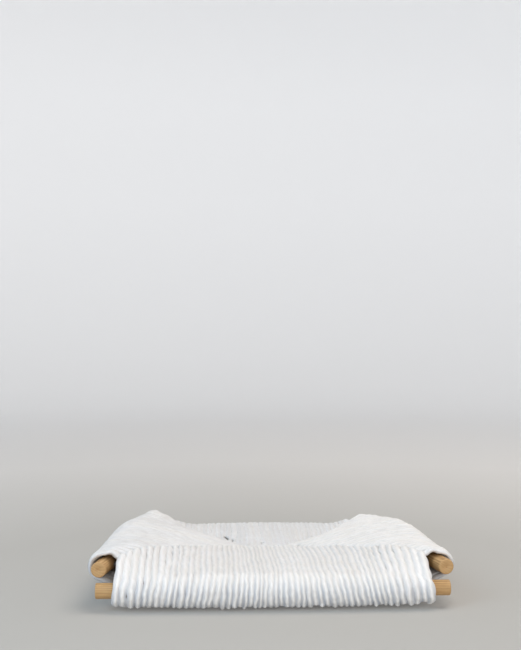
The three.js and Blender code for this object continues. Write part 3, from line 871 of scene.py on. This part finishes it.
def stuffing(word, roll, layer, seed):
    """One packed pad of rush offcuts, laid side by side from the rail to the seam."""
    rng = np.random.default_rng(seed)
    start, end = roll.ends
    stations = np.linspace(start + PAD_CLEAR, end - PAD_CLEAR, PAD_RINGS)
    theta = np.linspace(0, 2 * math.pi, PAD_SIDES, endpoint=False)
    across = np.sign(np.cos(theta)) * np.abs(np.cos(theta)) ** PAD_ROUND[0]
    rise = np.sign(np.sin(theta)) * np.abs(np.sin(theta)) ** PAD_ROUND[1]
    phases = rng.uniform(0, 2 * math.pi, int((end - start) / OFFCUT) + 2)
    rings, values = [], []
    for station in stations:
        near = float(roll.rail_radius(station)) + PAD_START
        far = max(near + 3, float(roll.seam(station)) - PAD_END)
        taper = min(1.0, 0.35 + min(station - stations[0], stations[-1] - station) / 14)
        offcut = (station - start) / OFFCUT
        ridge = abs(math.sin(math.pi * offcut)) * 0.75
        inward = (near + far) / 2 + across * (far - near) / 2 * taper
        lows, highs = np.array([layer_span(roll, layer, station, at) for at in inward]).T
        half = np.maximum(0.3, (highs - lows) / 2)
        wander = 0.18 * np.sin(inward / 9 + phases[int(offcut)])
        z = (lows + highs) / 2 + rise * half * (0.86 + 0.14 * ridge + wander * 0.3) * (0.6 + 0.4 * taper)
        rings.append(roll.place(np.full(PAD_SIDES, station), inward, z))
        values.append(np.stack([
            inward, np.full(PAD_SIDES, station), np.full(PAD_SIDES, 1 - ridge)], axis=-1))
    verts = np.concatenate(rings + [[rings[0].mean(axis=0)], [rings[-1].mean(axis=0)]])
    quads, ends = ring_faces(PAD_RINGS, PAD_SIDES)
    values = np.concatenate(values + [np.zeros((2, 3))])
    paint = np.zeros_like(verts)
    paint[:, 1] = np.concatenate([np.repeat(rng.random(PAD_RINGS), PAD_SIDES), [0.5, 0.5]])
    piece = mesh_piece(f"{word}_{layer}_stuffing_pad", [(verts, quads, ends, values, paint)], RAW)
    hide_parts(f"{word}_{layer}_stuffing")


ROLLS = {"front": front_roll, "back": back_roll, "left": left_roll, "right": right_roll}
for number, (word, roll) in enumerate(ROLLS.items()):
    stuffing(word, roll, "upper", 31 + number)
    stuffing(word, roll, "lower", 41 + number)


# ---------------------------------------------------------------- rails and tacks
TENON_RADIUS = 8.8
TENON_CHAMFER = 1.5
TENON_SHOULDER = 0.4                # from a tenon to the swelling part
CENTRE_MARK = (0.6, 1.6, 1.2)       # a lathe centre's mark in an end face: its radii and depth
RAIL_ROUND = 48
RAIL_RINGS = 90


def lathe(profile, origin, axis, word):
    """A turned rail: profile rows are (distance along the axis, radius), from one end to the other."""
    axis = np.array(axis) / np.linalg.norm(axis)
    up = np.array([0.0, 0.0, 1.0])
    side = np.cross(up, axis)
    angle = np.linspace(0, 2 * math.pi, RAIL_ROUND, endpoint=False)
    along = np.repeat(profile[:, 0], RAIL_ROUND)
    local = np.stack([along, np.outer(profile[:, 1], np.cos(angle)).ravel(),
                      np.outer(profile[:, 1], np.sin(angle)).ravel()], axis=-1)
    tips = np.array([[profile[0, 0], 0, 0], [profile[-1, 0], 0, 0]])
    local = np.concatenate([local, tips])
    verts = origin + local @ np.array([axis, side, up])
    quads, ends = ring_faces(len(profile), RAIL_ROUND)
    piece = mesh_piece(f"{word}_rail_turned", [(verts, quads, ends, local, np.zeros_like(local))], WOOD)
    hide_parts(f"{word}_rail")


def rail_profile(half_length, half_clear, radius_at):
    """Centre mark, tenon with eased edge, swelling rail, and the same again at the other end."""
    ease = np.linspace(math.pi / 2, 0, 6)
    start = [(-half_length + CENTRE_MARK[2], CENTRE_MARK[0]), (-half_length, CENTRE_MARK[1])]
    start += [(-half_length + TENON_CHAMFER * (1 - math.sin(a)),
               TENON_RADIUS - TENON_CHAMFER * (1 - math.cos(a))) for a in ease]
    start.append((-half_clear - TENON_SHOULDER, TENON_RADIUS))
    body = [(share * half_clear, radius_at(share)) for share in np.linspace(-1, 1, RAIL_RINGS)]
    return np.array(start + body + [(-along, radius) for along, radius in reversed(start)])


for word, roll in (("front", front_roll), ("back", back_roll)):
    half_length = mounts[f"{word}_rail_right_end"][0]
    profile = rail_profile(half_length, roll.clear, lambda share: float(roll.rail_radius(share * roll.clear)))
    lathe(profile, np.array([0.0, roll.rail_y, RAIL_Z]), roll.axis, word)

MIDDLE_Y = (CORNER_FRONT_Y + CORNER_BACK_Y) / 2
HALF_CLEAR_Y = (CORNER_BACK_Y - CORNER_FRONT_Y) / 2
for word, roll in (("left", left_roll), ("right", right_roll)):
    along = roll.back - roll.front
    half_clear = HALF_CLEAR_Y * np.linalg.norm(along) / along[1]
    profile = rail_profile(np.linalg.norm(along) / 2, half_clear,
                           lambda share: float(roll.rail_radius(MIDDLE_Y + share * HALF_CLEAR_Y)))
    lathe(profile, (roll.front + roll.back) / 2, along, word)

for name, cad_node in frame["nodes"].items():
    if "_tack_" in name:
        for slot in cad_node.material_slots:
            slot.material = STEEL


# ---------------------------------------------------------------- camera, light and stage
CAMERA_AHEAD = 1.277                # metres in front of the front rail
CAMERA_LEFT = 0.0725                # left of the middle line
CAMERA_ABOVE = 0.297                # above the front rail
CAMERA_YAW = 2.577                  # degrees, turned to the right
CAMERA_LENS = 63.0                  # millimetres, on a 36 mm sensor


def add_camera():
    data = bpy.data.cameras.new("camera")
    data.lens = CAMERA_LENS
    data.sensor_width = 36.0
    camera = bpy.data.objects.new("camera", data)
    bpy.context.scene.collection.objects.link(camera)
    camera.location = (-CAMERA_LEFT, FRONT_Y / MM - CAMERA_AHEAD, RAIL_Z / MM + CAMERA_ABOVE)
    camera.rotation_euler = (math.radians(90), 0, math.radians(-CAMERA_YAW))
    bpy.context.scene.camera = camera


def add_area_light(name, location, aim, size, power, colour):
    data = bpy.data.lights.new(name, "AREA")
    data.shape, data.size, data.energy, data.color = "SQUARE", size, power, colour
    light = bpy.data.objects.new(name, data)
    bpy.context.scene.collection.objects.link(light)
    light.location = location
    from_light = np.array(aim) - np.array(location)
    pitch = math.atan2(math.hypot(from_light[0], from_light[1]), -from_light[2])
    light.rotation_euler = (pitch, 0, math.atan2(from_light[1], from_light[0]) - math.pi / 2)


FLOOR_RADIUS = 2.6
SWEEP_RADIUS = 1.4
WALL_HEIGHT = 3.4
STAGE_SIDES = 96
STAGE_DROP = 0.0003                 # the floor's clearance below the lowest strand
STAGE_SPAN = 4.0 * MM               # unit of the distances below, from the middle of the floor
# Painted shade on the stage: darkest near the seat, lighter out to the wall.
STAGE_PAINTED_SHADE = [(0.1, linear(170, 169, 165)), (0.3, linear(208, 207, 205)), (0.6, linear(228, 228, 228))]
STAGE_GLOW = [(0.0, (0.14, 0.14, 0.14)), (0.2, (0.14, 0.14, 0.14)), (0.6, (0.22, 0.22, 0.22)),
              (1.0, (0.5, 0.5, 0.51))]
GLOW_STRENGTH = 0.66


def stage_material():
    """Pale paint with painted shade, darker near the seat and lighter away from it, and a faint glow as of a
    bright room, which is painted light.
    """
    material, tree, shader = new_material("stage_paint", 0.9, specular=0.1)
    distance = node(tree, "ShaderNodeVectorMath", operation="LENGTH")
    tree.links.new(object_vector(tree, (STAGE_SPAN,) * 3), distance.inputs[0])
    tree.links.new(ramp(tree, distance.outputs["Value"], STAGE_PAINTED_SHADE), shader.inputs["Base Color"])
    tree.links.new(ramp(tree, distance.outputs["Value"], STAGE_GLOW), shader.inputs["Emission Color"])
    shader.inputs["Emission Strength"].default_value = GLOW_STRENGTH
    return material


def add_stage():
    """A round pale sweep: flat floor, curved foot and upright wall, open at the top."""
    curve = np.linspace(0, math.pi / 2, 16)
    wall_radius = FLOOR_RADIUS + SWEEP_RADIUS
    radii = np.concatenate([[0.4, 1.2], FLOOR_RADIUS + SWEEP_RADIUS * np.sin(curve), [wall_radius]])
    heights = np.concatenate([[0, 0], SWEEP_RADIUS * (1 - np.cos(curve)), [WALL_HEIGHT]])
    angle = np.linspace(0, 2 * math.pi, STAGE_SIDES, endpoint=False)
    rings = [np.stack([r * np.cos(angle), r * np.sin(angle), np.full(STAGE_SIDES, h)], axis=1)
             for r, h in zip(radii, heights)]
    verts = np.concatenate(rings + [np.zeros((1, 3))])
    centre = len(verts) - 1
    faces = []
    for j in range(STAGE_SIDES):
        k = (j + 1) % STAGE_SIDES
        faces.append((centre, j, k))
        for start in range(0, centre - STAGE_SIDES, STAGE_SIDES):
            after = start + STAGE_SIDES
            faces.append((start + j, after + j, after + k, start + k))
    mesh = bpy.data.meshes.new("stage")
    mesh.from_pydata(verts.tolist(), [], faces)
    mesh.polygons.foreach_set("use_smooth", [True] * len(mesh.polygons))
    mesh.materials.append(stage_material())
    stage = bpy.data.objects.new("stage", mesh)
    bpy.context.scene.collection.objects.link(stage)
    stage.location.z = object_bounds()[0][2] - STAGE_DROP


def add_world():
    world = bpy.data.worlds.new("studio")
    bpy.context.scene.world = world
    world.use_nodes = True
    background = world.node_tree.nodes["Background"]
    background.inputs["Color"].default_value = (0.93, 0.96, 1.0, 1)
    background.inputs["Strength"].default_value = 0.05


add_camera()
add_stage()
add_world()
# Where each stands, where it points, its width in metres, its power in watts and its colour.
add_area_light("window", (-1.7, -1.2, 1.7), (0, 0, 0), 1.8, 24, (0.58, 0.81, 1.0))
add_area_light("low", (0.1, -2.4, 0.75), (0, 0, 0.03), 1.6, 22, (1.0, 0.96, 0.93))
add_area_light("top", (0.6, 0.2, 2.1), (0, 0, 0), 1.6, 29.5, (1.0, 0.9, 0.81))
bpy.context.scene.view_settings.view_transform = "Standard"
